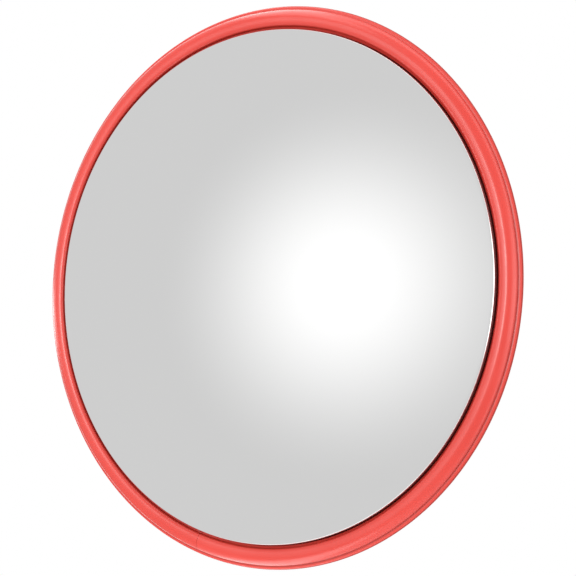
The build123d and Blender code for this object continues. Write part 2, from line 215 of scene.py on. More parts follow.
def make_lens():
    """Domed mirror face."""
    turn = np.linspace(0, TAU, 512, endpoint=False)
    return skin("lens_face", head_rings(lens_section(), turn), sharp=math.radians(50))


# ---- edge trim ---------------------------------------------------------------------------

# Small nicks in the bead's inner lip: (degrees clockwise from the right, width, depth), in mm.
NICKS = [
    (11, 0.9, 0.5), (37, 0.8, 0.5), (44, 1.0, 0.6), (107.6, 2.2, 1.2), (145, 0.9, 0.6),
    (157, 0.8, 0.5), (197, 1.0, 0.5), (201, 0.8, 0.4), (212, 0.9, 0.5), (283, 0.9, 0.5),
    (289, 0.8, 0.5),
]
NICK_LEVEL = 3.6 * MM      # the height at which they are deepest, and how far they spread from it
NICK_SPREAD = 1.6 * MM
# Slow waves of a soft section pulled round a hoop: (waves round the rim, mm, phase).
BEAD_WAVES = [(7, 0.05, 0.6), (17, 0.035, 2.1), (41, 0.02, 1.3)]
BEAD_SINK = 0.09           # mm that the bead is lowered by, to keep the waves inside the CAD's box


def trim_section():
    """Closed section of the trim: D-shaped bead and barbed tongue."""
    outer = (BEAD_OUTER_R - BEAD_CROWN_R, BEAD_CROWN - RIM_FACE)
    inner = (BEAD_INNER_R - BEAD_CROWN_R, BEAD_CROWN - BEAD_NOSE)
    left = TONGUE_R - TONGUE_HALF
    right = TONGUE_R + TONGUE_HALF
    tip = RIM_FACE - TONGUE_DEPTH
    barb = tip + BARB_HEIGHT
    return np.concatenate([
        bulge((BEAD_CROWN_R, RIM_FACE), outer, BEAD_FLANK, 26)[:0:-1],
        bulge((BEAD_CROWN_R, BEAD_NOSE), inner, BEAD_FULLNESS, 26),
        [[BEAD_INNER_R, BEAD_NOSE - 0.3 * MM], [BEAD_INNER_R - 0.04 * MM, LIP_ROOT + 0.15 * MM]],
        [[BEAD_INNER_R - 0.3 * MM, LIP_ROOT - 0.07 * MM], [LIP_R + 0.7 * MM, LIP_TIP + 0.2 * MM]],
        [[LIP_R + 0.15 * MM, LIP_TIP + 0.02 * MM], [LIP_R, LIP_TIP - 0.2 * MM]],
        [[LIP_R, RIM_FACE], [BEAD_INNER_R, RIM_FACE]],
        run((BEAD_INNER_R + 2 * MM, RIM_FACE), (left, RIM_FACE), 3),
        [[left, RIM_FACE], [left, barb], [left - BARB_REACH, barb]],
        [[left + BARB_REACH, tip], [right - BARB_REACH, tip], [right + BARB_REACH, barb]],
        [[right, barb], [right, RIM_FACE]],
        run((right + 1.0 * MM, RIM_FACE), (BEAD_OUTER_R, RIM_FACE), 3),
    ])


def make_trim():
    """Soft trim bent round the rim, its bead a little uneven, its lip nicked in places."""
    gap = JOINT_GAP / BEAD_CROWN_R
    steps = 1240
    turn = np.linspace(JOINT_ANGLE + gap / 2, JOINT_ANGLE + TAU - gap / 2, steps)
    section = trim_section()
    rings = head_rings(section, turn)
    radius = section[:, 0][:, None]
    height = section[:, 1][:, None]
    bead = np.clip((height - RIM_FACE) / (BEAD_CROWN - RIM_FACE), 0, 1)
    wave = sum(lift * np.sin(count * turn + phase) for count, lift, phase in BEAD_WAVES)
    rise = bead * (wave[None, :] - BEAD_SINK) * MM
    inner = np.clip((BEAD_CROWN_R - radius) / (BEAD_CROWN_R - BEAD_INNER_R), 0, 1) ** 2
    pull = np.zeros_like(rise)
    for degrees, width, depth in NICKS:
        off = (turn - math.radians(degrees) + math.pi) % TAU - math.pi
        notch = np.exp(-((off * BEAD_INNER_R / (width * MM)) ** 2) * 2.0)
        low = np.exp(-(((height - NICK_LEVEL) / NICK_SPREAD) ** 2))
        pull += notch[None, :] * inner * low * depth * MM
    rings[:, :, 1] -= rise
    rings[:, :, 0] += pull * np.cos(turn)[None, :]
    rings[:, :, 2] -= pull * np.sin(turn)[None, :]
    by_step = rings.transpose(1, 0, 2)
    return skin("trim_bead", by_step, caps=True, sharp=math.radians(50))


# ---- back shell --------------------------------------------------------------------------

LEDGE = -0.5 * MM
LEDGE_INNER_R = 202.0 * MM
SHELL_T = 3.0 * MM
REBATE_R = 213.8 * MM
GRIP_RIB_R = 220.4 * MM
GRIP_RIB_INNER_R = 214.0 * MM
GRIP_RIB_BACK = -6.5 * MM
RIM_BACK = -0.6 * MM
DISH_KNEE = (168.0 * MM, -27.0 * MM)
DISH_PAD = (84.0 * MM, -36.0 * MM)
DISH_BENDS = (30 * MM, 18 * MM)               # bend radii at the knee and at the pad's edge
CHANNEL_HALF = 1.5 * MM
CHANNEL_DEPTH = 6.5 * MM
SHELL_RIBS = 12
SHELL_RIB_REACH = (92.0 * MM, 200.0 * MM)
SHELL_RIB_H = 3.0 * MM
SHELL_RIB_W = 5.0 * MM
SHELL_RIB_END = 7 * MM                        # length over which a rib rises at each end


def rounded(corners, radii, rings=9):
    """Open outline through corners, each inner corner rounded with its own radius."""
    points = [np.array(corner, float) for corner in corners]
    outline = [points[0]]
    for before, here, after, radius in zip(points, points[1:], points[2:], radii):
        if radius == 0:
            outline.append(here)
            continue
        to_before = (before - here) / np.linalg.norm(before - here)
        to_after = (after - here) / np.linalg.norm(after - here)
        half = math.acos(np.clip(to_before @ to_after, -1, 1)) / 2
        bisector = (to_before + to_after) / np.linalg.norm(to_before + to_after)
        centre = here + bisector * radius / math.sin(half)
        first = here + to_before * radius / math.tan(half) - centre
        last = here + to_after * radius / math.tan(half) - centre
        for share in np.linspace(0, 1, rings):
            spoke = first * (1 - share) + last * share
            outline.append(centre + spoke / np.linalg.norm(spoke) * radius)
    outline.append(points[-1])
    return np.array(outline)


def finer(outline, step):
    """The same outline with long runs divided, so that none is longer than step."""
    points = [outline[0]]
    for start, end in zip(outline, outline[1:]):
        count = max(1, int(math.ceil(np.linalg.norm(end - start) / step)))
        points.extend(start + (end - start) * k / count for k in range(1, count + 1))
    return np.array(points)


def dish_outline():
    """Outside of the dish from the grip rib to the middle of the pad."""
    corners = [(GRIP_RIB_INNER_R, GRIP_RIB_BACK), DISH_KNEE, DISH_PAD, (0.0, DISH_PAD[1])]
    return finer(rounded(corners, DISH_BENDS, 14), 6 * MM)


def shell_section():
    """Closed section of the shell, from the middle of the pad out, round and back inside."""
    slot_out = TONGUE_R + CHANNEL_HALF
    slot_in = TONGUE_R - CHANNEL_HALF
    bottom = RIM_FACE - CHANNEL_DEPTH
    rim = rounded(
        [
            (GRIP_RIB_INNER_R, GRIP_RIB_BACK),
            (GRIP_RIB_R, GRIP_RIB_BACK),
            (GRIP_RIB_R + 0.6 * MM, RIM_BACK),
            (RIM_R, RIM_BACK),
            (RIM_R, RIM_FACE),
            (slot_out, RIM_FACE),
            (slot_out, bottom),
            (slot_in, bottom),
            (slot_in, RIM_FACE),
            (REBATE_R, RIM_FACE),
            (REBATE_R, LEDGE),
            (LEDGE_INNER_R, LEDGE),
            (LEDGE_INNER_R, LEDGE - SHELL_T),
        ],
        [size * MM for size in (1.2, 0.5, 1.5, 2.0, 0, 0.6, 0.6, 0, 0.4, 0, 0)],
    )
    inside = [
        (GRIP_RIB_INNER_R - SHELL_T, GRIP_RIB_BACK + SHELL_T),
        (DISH_KNEE[0] - 0.9 * SHELL_T, DISH_KNEE[1] + SHELL_T),
        (DISH_PAD[0], DISH_PAD[1] + SHELL_T),
        (0.0, DISH_PAD[1] + SHELL_T),
    ]
    return np.concatenate([dish_outline()[::-1], rim[1:], rounded(inside, DISH_BENDS, 8)])


def shell_rib(turn):
    """Rings of one radial rib: a rounded ridge with flared feet, eased down at both ends."""
    path = dish_outline()
    inner, outer = SHELL_RIB_REACH
    path = path[(path[:, 0] > inner) & (path[:, 0] < outer)]
    slope = np.gradient(path, axis=0)
    outward = np.stack([-slope[:, 1], slope[:, 0]], 1)
    outward /= np.linalg.norm(outward, axis=1)[:, None]
    along = np.concatenate([[0], np.cumsum(np.linalg.norm(np.diff(path, axis=0), axis=1))])
    ends = np.minimum(along, along[-1] - along) / SHELL_RIB_END
    lifts = np.sin(np.clip(ends, 0, 1) * math.pi / 2) ** 1.4
    across = np.linspace(-1, 1, 25)
    ridge = np.exp(-((np.abs(across) / 0.46) ** 3.4))
    half = SHELL_RIB_W * 0.82
    rings = []
    for point, out, lift in zip(path, outward, lifts):
        top = point[None, :] + out[None, :] * (ridge * lift * SHELL_RIB_H - 0.15 * MM)[:, None]
        under = point[None, :] - out[None, :] * 0.8 * MM
        radius = np.append(top[:, 0], [under[0, 0]] * 2)
        height = np.append(top[:, 1], [under[0, 1]] * 2)
        side = np.append(across * half, [half, -half])
        x = radius * math.cos(turn) - side * math.sin(turn)
        z = -radius * math.sin(turn) - side * math.cos(turn)
        rings.append(np.stack([x, RIM_Y - height, z], 1))
    return np.array(rings)


def joined(name, pieces):
    """One object from several, which are removed."""
    work = bmesh.new()
    for piece in pieces:
        work.from_mesh(piece.data)
        bpy.data.objects.remove(piece)
    mesh = bpy.data.meshes.new(name)
    work.to_mesh(mesh)
    work.free()
    return add_object(name, mesh)


def make_shell():
    """Moulded back: flanged rim, dish and its twelve radial ribs."""
    turn = np.linspace(0, TAU, 480, endpoint=False)
    pieces = [skin("shell_body", head_rings(shell_section(), turn))]
    for k in range(SHELL_RIBS):
        pieces.append(skin("shell_rib", shell_rib(TAU * (k + 0.5) / SHELL_RIBS), caps=True))
    return joined("shell_moulding", pieces)


# ---- fasteners ---------------------------------------------------------------------------

# In mm: shank radius, half the width across flats, heights of head and nut, thread pitch, and the
# washer's thickness, outer and inner radius.
M12 = {"shank": 6.0, "flat": 9.5, "head": 7.5, "nut": 12.0, "pitch": 1.75,
       "washer": 2.5, "washer_out": 12.0, "washer_in": 6.5}
M6 = {"shank": 3.0, "flat": 5.0, "head": 4.0, "pitch": 1.0,
      "washer": 1.6, "washer_out": 6.0, "washer_in": 3.2}
THREAD_SPARE = 4           # mm of thread between a joint's lock nut and the plain shank


def hexagon(flat, angle):
    """Radius of a hexagon at each angle, its corners barely eased."""
    sector = angle % (math.pi / 3) - math.pi / 6
    return np.minimum(flat / np.cos(sector), flat * 1.142)


def thread(size, angle, depth_z, fade):
    """Radius of the thread at a depth below the head, flattened where fade is 0."""
    phase = (depth_z / size["pitch"] + angle / TAU) % 1.0
    tooth = np.clip(np.abs(phase - 0.5) * 2.6 - 0.25, 0, 1)
    return size["shank"] - 0.6 * size["pitch"] * fade * (1 - tooth)


def hex_bolt(name, size, grip, threaded, place):
    """Hex bolt with a chamfered head, washer face and, at its tail, a cut thread."""
    angle = np.linspace(0, TAU, 120, endpoint=False)
    flat, head, shank = size["flat"], size["head"], size["shank"]
    rows = [(head, 0 * angle), (head - 0.08, 0 * angle + flat * 0.30)]
    rows += [(head - 0.25, 0 * angle + flat * 0.34), (head - 0.25, 0 * angle + flat * 0.62)]
    rows += [(head, 0 * angle + flat * 0.66)]
    for drop in (0.0, 0.15, 0.35, 0.6, 0.9, 1.3, 1.8):
        limit = flat * (0.93 + 0.13 * drop) + 0 * angle
        rows.append((head - drop * head / 7.5, np.minimum(hexagon(flat, angle), limit)))
    rows.append((0.5, hexagon(flat, angle)))
    rows.append((0.35, np.minimum(hexagon(flat, angle), flat * 0.97)))
    rows.append((0.0, 0 * angle + flat * 0.95))
    rows.append((0.0, 0 * angle + shank))
    start = grip - threaded
    if threaded > 0:
        rows.append((-start, 0 * angle + shank))
        for depth in np.arange(start + 0.1, grip - 0.9, size["pitch"] / 9):
            fade = min(1.0, (depth - start) / size["pitch"])
            rows.append((-depth, thread(size, angle, depth, fade)))
    rows.append((-grip + 0.8, 0 * angle + shank * 0.86))
    rows.append((-grip, 0 * angle + shank * 0.76))
    rows.append((-grip, 0 * angle))
    return turned_piece(name, rows, angle, place)


def lock_nut(name, size, place):
    """Hex lock nut with chamfered corners and a rolled collar."""
    angle = np.linspace(0, TAU, 120, endpoint=False)
    flat, height = size["flat"], size["nut"]
    collar = height * 0.22
    hexed = height - collar
    bore = size["shank"] * 1.01
    rows = [(0.0, 0 * angle + bore), (0.0, 0 * angle + flat * 0.95)]
    for drop in (0.15, 0.45, 0.9, 1.5):
        limit = flat * (0.96 + 0.13 * drop) + 0 * angle
        rows.append((-drop * height / 12, np.minimum(hexagon(flat, angle), limit)))
    for drop in (1.5, 0.9, 0.45, 0.15, 0.0):
        limit = flat * (0.95 + 0.13 * drop) + 0 * angle
        rows.append((-hexed + drop * height / 12, np.minimum(hexagon(flat, angle), limit)))
    for turn in np.linspace(0, math.pi / 2, 7):
        edge = flat * 0.86 - collar * 0.6 * (1 - math.cos(turn))
        rows.append((-height + collar * 0.6 * (1 - math.sin(turn)), 0 * angle + edge))
    rows.append((-height, 0 * angle + bore * 1.12))
    rows.append((-height + 0.3, 0 * angle + bore * 1.06))
    rows.append((-height + collar * 0.9, 0 * angle + bore * 1.04))
    rows.append((-height + collar, 0 * angle + bore))
    return turned_piece(name, rows, angle, place, loop=True)


def washer(size, place):
    """Flat washer with stamped, slightly rounded edges, its lower face at zero."""
    angle = np.linspace(0, TAU, 96, endpoint=False)
    thickness, outer, inner = size["washer"], size["washer_out"], size["washer_in"]
    soft = min(0.35, thickness * 0.25)
    outline = [
        (0, inner), (0, outer - soft), (soft * 0.3, outer - soft * 0.3), (soft, outer),
        (thickness - soft * 0.6, outer), (thickness - soft * 0.15, outer - soft * 0.2),
        (thickness, outer - soft), (thickness, inner + soft), (thickness - soft, inner),
    ]
    rows = [(level, 0 * angle + radius) for level, radius in outline]
    return turned_piece("washer", rows, angle, place, loop=True)


def turned_piece(name, rows, angle, place, loop=False):
    """Mesh from rows of (height, radius by angle) in millimetres, put in place in metres."""
    rings = []
    for height, radius in rows:
        level = np.full_like(angle, height)
        rings.append(np.stack([radius * np.cos(angle), radius * np.sin(angle), level], 1) * MM)
    piece = skin(name, np.array(rings), loop=loop, sharp=math.radians(28))
    piece.data.transform(place)
    return piece


# ---- welds and carried-over steelwork ----------------------------------------------------

def weld_ring(name, radius, y, size, out, seed):
    """Rippled fillet weld round a tube: out is +1 or -1, the side of y it stands on."""
    turn = np.linspace(0, TAU, 420, endpoint=False)
    rng = np.random.default_rng(seed)
    uneven = sum(
        rng.uniform(0.02, 0.05) * np.sin(k * turn + rng.uniform(0, TAU)) for k in range(2, 9)
    )
    ripple = 0.07 * np.abs(np.sin(turn * 31)) ** 0.7
    rings = []
    for lean in np.radians(np.linspace(-8, 98, 12)):
        swell = size * (0.78 + 0.22 * math.sin(2 * lean)) * (1 + uneven + ripple)
        r = radius - 0.3 * MM + swell * math.cos(lean)
        depth = y - out * 0.3 * MM + out * swell * math.sin(lean)
        rings.append(np.stack([r * np.cos(turn), depth, r * np.sin(turn)], 1))
    root = np.stack([
        (radius - 0.4 * MM) * np.cos(turn), np.full_like(turn, y), (radius - 0.4 * MM) * np.sin(turn)
    ], 1)
    rings.append(root)
    return skin(name, np.array(rings), loop=True, sharp=math.radians(80))


def weld_run(start, end, side, up, size, seed):
    """Rings of a straight rippled fillet weld from start to end, between side and up."""
    start, end = np.array(start), np.array(end)
    side, up = np.array(side, float), np.array(up, float)
    length = np.linalg.norm(end - start)
    rng = np.random.default_rng(seed)
    along = np.linspace(0, 1, max(8, int(length / (0.35 * MM))))
    phase = rng.uniform(0, TAU)
    rings = []
    for share in along:
        edge = min(share, 1 - share) * length / (1.6 * MM)
        swell = math.sqrt(min(1.0, edge + 0.02))
        bead = 1 + 0.07 * abs(math.sin(share * length / (2.1 * MM) * math.pi + phase))
        bead += 0.05 * math.sin(share * length / (9 * MM) * TAU + phase)
        core = start + (end - start) * share - (side + up) * 0.25 * MM
        ring = [core]
        for lean in np.radians(np.linspace(-6, 96, 9)):
            thickness = size * (0.80 + 0.20 * math.sin(2 * lean)) * bead * swell
            ring.append(core + (side * math.cos(lean) + up * math.sin(lean)) * thickness)
        rings.append(ring)
    return np.array(rings)


def eased(node, width):
    """Copy of a CAD node with its crisp edges broken, to stand in for it."""
    source = frame["nodes"][node]
    work = bmesh.new()
    work.from_mesh(source.data)
    bmesh.ops.remove_doubles(work, verts=work.verts, dist=2e-6)
    bmesh.ops.dissolve_limit(
        work, angle_limit=math.radians(0.6), verts=work.verts, edges=work.edges, delimit=set()
    )
    mesh = bpy.data.meshes.new(node + "_eased")
    work.to_mesh(mesh)
    work.free()
    piece = bpy.data.objects.new(node + "_finished", mesh)
    bpy.context.scene.collection.objects.link(piece)
    mesh.shade_smooth()
    bevel = piece.modifiers.new("edges", "BEVEL")
    bevel.width = width
    bevel.segments = 3
    bevel.limit_method = "ANGLE"
    bevel.angle_limit = math.radians(32)
    bevel.harden_normals = True
    graph = bpy.context.evaluated_depsgraph_get()
    finished = bpy.data.meshes.new_from_object(piece.evaluated_get(graph))
    piece.modifiers.clear()
    piece.data = finished
    finished.set_sharp_from_angle(angle=math.radians(40))
    return piece


# ---- materials ---------------------------------------------------------------------------

class Shade:
    """One Principled material and short calls for the nodes that feed it."""

    def __init__(self, name, color, **constants):
        self.material = bpy.data.materials.new(name)
        self.material.use_nodes = True
        self.tree = self.material.node_tree
        self.shader = self.tree.nodes["Principled BSDF"]
        self.shader.inputs["Base Color"].default_value = (*color, 1)
        for socket, value in constants.items():
            self.shader.inputs[socket.replace("_", " ")].default_value = value
        self.place = self.tree.nodes.new("ShaderNodeTexCoord").outputs["Object"]

    def put(self, source, socket):
        """Feeds a shader input."""
        self.tree.links.new(source, self.shader.inputs[socket])

    def node(self, kind, settings=None, **inputs):
        """Adds a node with its settings and with inputs by name: numbers or sockets."""
        made = self.tree.nodes.new(kind)
        for key, value in (settings or {}).items():
            setattr(made, key, value)
        for key, value in inputs.items():
            socket = made.inputs[int(key[1:])] if key[1:].isdigit() else made.inputs[key]
            if isinstance(value, bpy.types.NodeSocket):
                self.tree.links.new(value, socket)
            else:
                socket.default_value = value
        return made

    def stretched(self, scale):
        """Object coordinates scaled per axis."""
        return self.node("ShaderNodeMapping", Vector=self.place, Scale=scale).outputs["Vector"]

    def noise(self, scale, detail=3.0, rough=0.5, place=None):
        """Noise from 0 to 1, scale in features per metre."""
        made = self.node(
            "ShaderNodeTexNoise", Vector=place or self.place, Scale=scale, Detail=detail, Roughness=rough
        )
        return made.outputs["Fac"]

    def cells(self, scale, feature="F1", output="Distance"):
        """Voronoi cells, scale in cells per metre."""
        made = self.node("ShaderNodeTexVoronoi", {"feature": feature}, Vector=self.place, Scale=scale)
        return made.outputs[output]

    def span(self, value, low, high, to_low, to_high, smooth=False):
        """Maps a value from one range to another, clamped."""
        made = self.node(
            "ShaderNodeMapRange",
            {"interpolation_type": "SMOOTHSTEP" if smooth else "LINEAR"},
            _0=value, _1=low, _2=high, _3=to_low, _4=to_high,
        )
        return made.outputs[0]

    def math(self, operation, a, b=0.0):
        """Arithmetic on two values."""
        return self.node("ShaderNodeMath", {"operation": operation}, _0=a, _1=b).outputs[0]

    def mix(self, share, a, b, blend="MIX"):
        """Mixes two colours."""
        made = self.tree.nodes.new("ShaderNodeMix")
        made.data_type = "RGBA"
        made.blend_type = blend
        for socket, value in zip((made.inputs[0], made.inputs[6], made.inputs[7]), (share, a, b)):
            if isinstance(value, bpy.types.NodeSocket):
                self.tree.links.new(value, socket)
            else:
                socket.default_value = value if isinstance(value, float) else (*value, 1)
        return made.outputs[2]

    def bump(self, height, strength, distance, under=None):
        """Bump from a height, over an earlier bump if one is given."""
        made = self.node("ShaderNodeBump", Height=height, Strength=strength, Distance=distance)
        if under is not None:
            self.tree.links.new(under, made.inputs["Normal"])
        return made.outputs["Normal"]

    def lower_half(self):
        """1 in the head's lower half, fading to little near its top: the painted shade in the creases is
        stronger towards the bottom.
        """
        split = self.node("ShaderNodeSeparateXYZ", Vector=self.place)
        return self.span(split.outputs[2], 0.0, 0.16, 1.0, 0.15)

    def round_axis(self):
        """Distance from the head's axis, and height of the point towards the viewer."""
        split = self.node("ShaderNodeSeparateXYZ", Vector=self.place)
        square = self.math("ADD", self.math("MULTIPLY", split.outputs[0], split.outputs[0]),
                           self.math("MULTIPLY", split.outputs[2], split.outputs[2]))
        return self.math("SQRT", square), self.math("SUBTRACT", RIM_Y, split.outputs[1])


LIP_SHADE = 0.12           # how much of the painted shade's dark colour the bead's lip takes on


def coral_trim():
    """Soft coral PVC: even satin skin, faint flow marks, fine scuffs, and painted shade in the groove and
    in the recess at the bead's lip.
    """
    red = (0.68, 0.044, 0.030)
    shade = Shade("coral_soft_pvc", red, Roughness=0.34, IOR=1.52)
    shade.shader.inputs["Coat Weight"].default_value = 0.28
    shade.shader.inputs["Coat Roughness"].default_value = 0.2
    radius, height = shade.round_axis()
    cloud = shade.noise(14, 2.0)
    base = shade.mix(shade.span(cloud, 0.35, 0.65, 0.0, 1.0), red, (0.71, 0.049, 0.034))
    # Painted shade: the groove by the outer flange is darkened, more towards the bottom, for the shade in
    # that crease.
    groove = shade.span(radius, BEAD_OUTER_R - 0.9 * MM, BEAD_OUTER_R, 0.0, 0.45, True)
    groove = shade.math("MULTIPLY", groove, shade.lower_half())
    # Painted shade: the lip deep in the recess next to the lens is darkened for the shade that falls
    # there.
    inside = shade.span(radius, BEAD_INNER_R - 0.2 * MM, BEAD_INNER_R + 0.6 * MM, 1.0, 0.0)
    deep = shade.span(height, LIP_ROOT + 0.1 * MM, BEAD_NOSE + 0.4 * MM, 1.0, 0.0, True)
    lip = shade.math("MULTIPLY", shade.math("MULTIPLY", inside, deep), LIP_SHADE)
    painted_shade = shade.math("MULTIPLY", shade.math("MAXIMUM", groove, lip),
                       shade.span(shade.noise(160, 4.0), 0.3, 0.7, 0.75, 1.0))
    # The dark colour mixed in here is the painted shade, broken up a little by noise.
    base = shade.mix(painted_shade, base, (0.17, 0.016, 0.013))
    specks = shade.span(shade.cells(420), 0.035, 0.05, 1.0, 0.0)
    rare = shade.span(shade.noise(55, 2.0), 0.62, 0.68, 0.0, 1.0)
    dust = shade.math("MULTIPLY", specks, rare)
    base = shade.mix(shade.math("MULTIPLY", dust, 0.30), base, (0.80, 0.46, 0.40))
    shade.put(base, "Base Color")
    scuff = shade.span(shade.noise(60, 5.0, 0.6, shade.stretched((1.0, 9.0, 1.0))), 0.52, 0.72, 0.0, 1.0)
    rough = shade.math("ADD", shade.span(shade.noise(90, 4.0), 0.3, 0.7, 0.29, 0.37),
                       shade.math("MULTIPLY", scuff, 0.10))
    shade.put(rough, "Roughness")
    grain = shade.bump(shade.noise(2600, 2.0), 0.12, 0.02 * MM)
    ripple = shade.bump(shade.noise(170, 2.0), 0.35, 0.06 * MM, grain)
    shade.put(ripple, "Normal")
    return shade.material


def coral_shell():
    """Moulded coral ABS: finely spark-eroded back, smooth flange, slight weathering, and painted shade in
    the crease beside the bead and on the flange's outer edge.
    """
    red = (0.62, 0.066, 0.052)
    shade = Shade("coral_moulded_abs", red, Roughness=0.42, IOR=1.52)
    shade.shader.inputs["Coat Weight"].default_value = 0.15
    shade.shader.inputs["Coat Roughness"].default_value = 0.3
    radius, height = shade.round_axis()
    back = shade.span(height, RIM_BACK - 2 * MM, RIM_BACK, 1.0, 0.0)
    cloud = shade.span(shade.noise(11, 4.0, 0.6), 0.35, 0.7, 0.0, 1.0)
    base = shade.mix(cloud, red, (0.56, 0.058, 0.046))
    chalk = shade.math("MULTIPLY", shade.span(shade.noise(34, 5.0, 0.65), 0.5, 0.78, 0.0, 0.35), back)
    base = shade.mix(chalk, base, (0.88, 0.22, 0.18))
    # Painted shade: the flange next to the bead is darkened, more towards the bottom, for the shade the
    # bead casts there.
    crease = shade.span(radius, BEAD_OUTER_R + 0.4 * MM, BEAD_OUTER_R + 1.2 * MM, 0.6, 0.0, True)
    crease = shade.math("MULTIPLY", crease, shade.lower_half())
    # Painted shade: the flange's rounded outer edge is darkened, with its specular and coat lowered, for
    # the shade on that fillet at the silhouette.
    edge_shade = shade.span(radius, RIM_R - 0.9 * MM, RIM_R - 0.2 * MM, 0.0, 0.7, True)
    front = shade.span(height, RIM_BACK - 0.3 * MM, RIM_BACK + 0.8 * MM, 0.0, 1.0)
    run_off = shade.noise(26, 4.0, 0.6, shade.stretched((6.0, 1.0, 0.35)))
    streak = shade.math("MULTIPLY", shade.span(run_off, 0.56, 0.74, 0.0, 0.30), back)
    base = shade.mix(streak, base, (0.36, 0.10, 0.075))
    # The darker flange colour here is that painted shade in the crease.
    flange = shade.mix(crease, (0.68, 0.046, 0.031), (0.26, 0.022, 0.018))
    flange = shade.mix(edge_shade, flange, (0.30, 0.05, 0.043))
    base = shade.mix(front, base, flange)
    shade.put(base, "Base Color")
    dull = shade.math("MULTIPLY", edge_shade, front)
    shade.put(shade.span(dull, 0.0, 0.7, 0.5, 0.02), "Specular IOR Level")
    shade.put(shade.span(dull, 0.0, 0.7, 0.15, 0.0), "Coat Weight")
    rough = shade.math("ADD", shade.span(shade.noise(70, 4.0), 0.3, 0.7, 0.34, 0.44),
                       shade.math("MULTIPLY", back, 0.10))
    shade.put(rough, "Roughness")
    grain = shade.math("MULTIPLY", shade.noise(1500, 3.0, 0.7), back)
    fine = shade.bump(grain, 0.25, 0.05 * MM)
    shade.put(shade.bump(shade.noise(120, 2.0), 0.3, 0.08 * MM, fine), "Normal")
    return shade.material


def mirror_face():
    """Silvered acrylic: near-perfect mirror with faint haze, dust and wipes; its wall is dark red-brown
    and not mirrored, a painted reflection of the shaded bead.
    """
    silver = (0.90, 0.90, 0.898)
    shade = Shade("silvered_acrylic", silver, Roughness=0.02, Metallic=1.0)
    shade.shader.inputs["Coat Weight"].default_value = 0.3
    shade.shader.inputs["Coat Roughness"].default_value = 0.02
    haze = shade.span(shade.noise(9, 4.0, 0.6), 0.45, 0.75, 0.015, 0.05)
    wipes = shade.span(shade.noise(34, 6.0, 0.7, shade.stretched((1.0, 1.0, 7.0))), 0.60, 0.75, 0.0, 0.03)
    shade.put(shade.math("ADD", haze, wipes), "Roughness")
    dust = shade.math("MULTIPLY", shade.span(shade.cells(300), 0.03, 0.05, 1.0, 0.0),
                      shade.span(shade.noise(40, 2.0), 0.60, 0.66, 0.0, 0.10))
    base = shade.mix(dust, silver, (0.72, 0.71, 0.69))
    radius, height = shade.round_axis()
    # Painted reflection: the lens wall below the shoulder gets a dark red-brown, non-metal colour in place
    # of the shaded bead it would mirror.
    outside = shade.span(radius, LENS_WALL_R - 0.35 * MM, LENS_WALL_R - 0.2 * MM, 0.0, 1.0)
    low = shade.span(height, LENS_SHOULDER_HEIGHT, LENS_SHOULDER_HEIGHT + 0.6 * MM, 1.0, 0.0)
    edge = shade.math("MULTIPLY", outside, low)
    shade.put(shade.mix(edge, base, (0.09, 0.021, 0.019)), "Base Color")
    shade.put(shade.span(edge, 0.0, 1.0, 1.0, 0.0), "Metallic")
    return shade.material


def galvanised():
    """Hot-dip galvanised steel: soft spangle, cloudy patina, small runs."""
    zinc = (0.36, 0.37, 0.385)
    shade = Shade("galvanised_steel", zinc, Metallic=1.0, Roughness=0.42)
    spangle = shade.node("ShaderNodeTexVoronoi", {"feature": "F1"}, Vector=shade.place, Scale=110.0)
    tone = shade.node("ShaderNodeSeparateColor", Color=spangle.outputs["Color"]).outputs[0]
    patina = shade.span(shade.noise(28, 5.0, 0.6), 0.35, 0.7, 0.0, 1.0)
    base = shade.mix(shade.span(tone, 0.0, 1.0, 0.0, 0.9), zinc, (0.25, 0.262, 0.28))
    base = shade.mix(shade.math("MULTIPLY", patina, 0.5), base, (0.42, 0.43, 0.435))
    bloom = shade.span(shade.noise(75, 6.0, 0.7), 0.62, 0.78, 0.0, 0.6)
    shade.put(shade.mix(bloom, base, (0.50, 0.505, 0.50)), "Base Color")
    rough = shade.math("ADD", shade.span(tone, 0.0, 1.0, 0.30, 0.44),
                       shade.math("MULTIPLY", shade.math("ADD", patina, bloom), 0.10))
    shade.put(rough, "Roughness")
    lumps = shade.bump(shade.noise(210, 4.0), 0.5, 0.10 * MM)
    shade.put(shade.bump(spangle.outputs["Distance"], 0.25, 0.05 * MM, lumps), "Normal")
    return shade.material


def zinc_plate():
    """Bright zinc-plated fasteners: bluish, finely drawn, dulled in patches."""
    zinc = (0.50, 0.515, 0.55)
    shade = Shade("zinc_plate", zinc, Metallic=1.0, Roughness=0.26)
    patch = shade.span(shade.noise(320, 4.0, 0.6), 0.42, 0.68, 0.0, 1.0)
    shade.put(shade.mix(patch, zinc, (0.36, 0.36, 0.355)), "Base Color")
    shade.put(shade.span(shade.noise(700, 5.0, 0.7), 0.3, 0.7, 0.20, 0.38), "Roughness")
    shade.put(shade.bump(shade.noise(1800, 3.0), 0.2, 0.02 * MM), "Normal")
    return shade.material


def cast_aluminium():
    """Sand-cast aluminium, tumbled: pebbled skin with brighter rubbed high spots."""
    metal = (0.36, 0.364, 0.37)
    shade = Shade("cast_aluminium", metal, Metallic=1.0, Roughness=0.46)
    pebble = shade.noise(900, 5.0, 0.65)
    rub = shade.span(shade.noise(60, 4.0), 0.45, 0.7, 0.0, 1.0)
    base = shade.mix(rub, metal, (0.46, 0.46, 0.455))
    pit = shade.span(pebble, 0.28, 0.40, 0.7, 0.0)
    shade.put(shade.mix(pit, base, (0.13, 0.13, 0.13)), "Base Color")
    shade.put(shade.span(pebble, 0.3, 0.7, 0.56, 0.40), "Roughness")
    shade.put(shade.bump(pebble, 0.55, 0.14 * MM), "Normal")
    return shade.material


